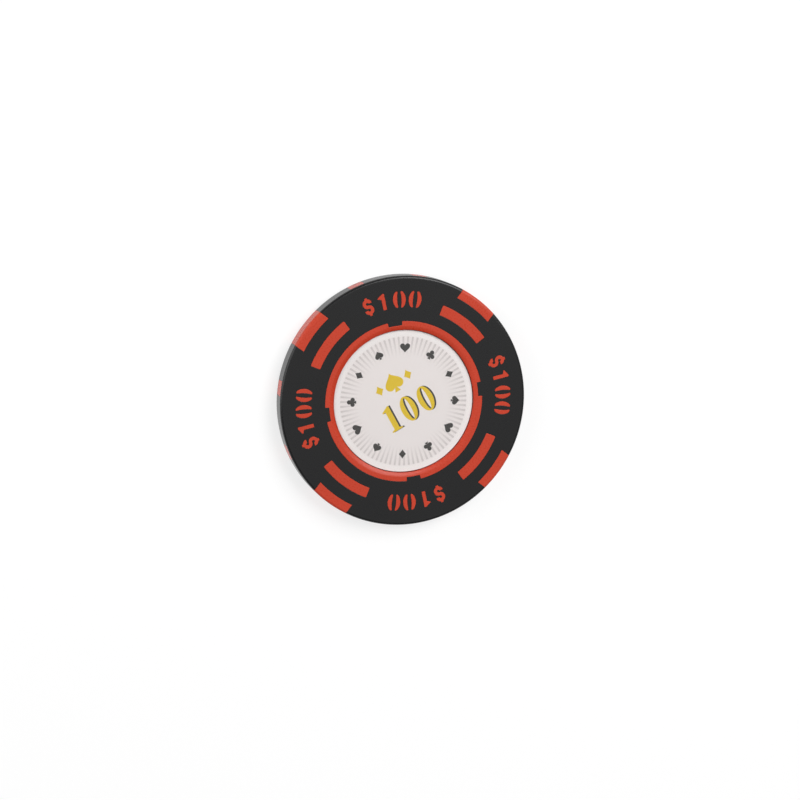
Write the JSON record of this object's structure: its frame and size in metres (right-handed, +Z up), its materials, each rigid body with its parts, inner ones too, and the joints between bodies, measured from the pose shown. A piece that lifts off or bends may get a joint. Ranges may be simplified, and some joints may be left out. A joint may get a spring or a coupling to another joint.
{
  "type": "poker chip",
  "caption": "Round moulded poker chip with edge spots, arc bars and value marks in a second colour, a recessed label on each face and a steel slug inside.",
  "frame": {"origin": "centre of the back face, in the plane that the chip lies on", "axes": "+Z up through the chip and out of the front face, +X and +Y through the middles of two neighbouring value marks"},
  "size_m": [0.04, 0.04, 0.0033],
  "materials": {
    "slug_steel": "stamped mild steel",
    "orange_plastic": "fine moulded satin",
    "black_plastic": "fine moulded satin",
    "label_adhesive": "clear acrylic adhesive",
    "label_film": "pearl white printed film",
    "label_laminate": "clear gloss laminate"
  },
  "bodies": {
    "root": {"weight_slug": "slug_steel", "colour_core": "orange_plastic", "outer_body": "black_plastic", "front_label_adhesive": "label_adhesive", "front_label_film": "label_film", "front_label_laminate": "label_laminate", "back_label_adhesive": "label_adhesive", "back_label_film": "label_film", "back_label_laminate": "label_laminate"}
  },
  "joints": []
}
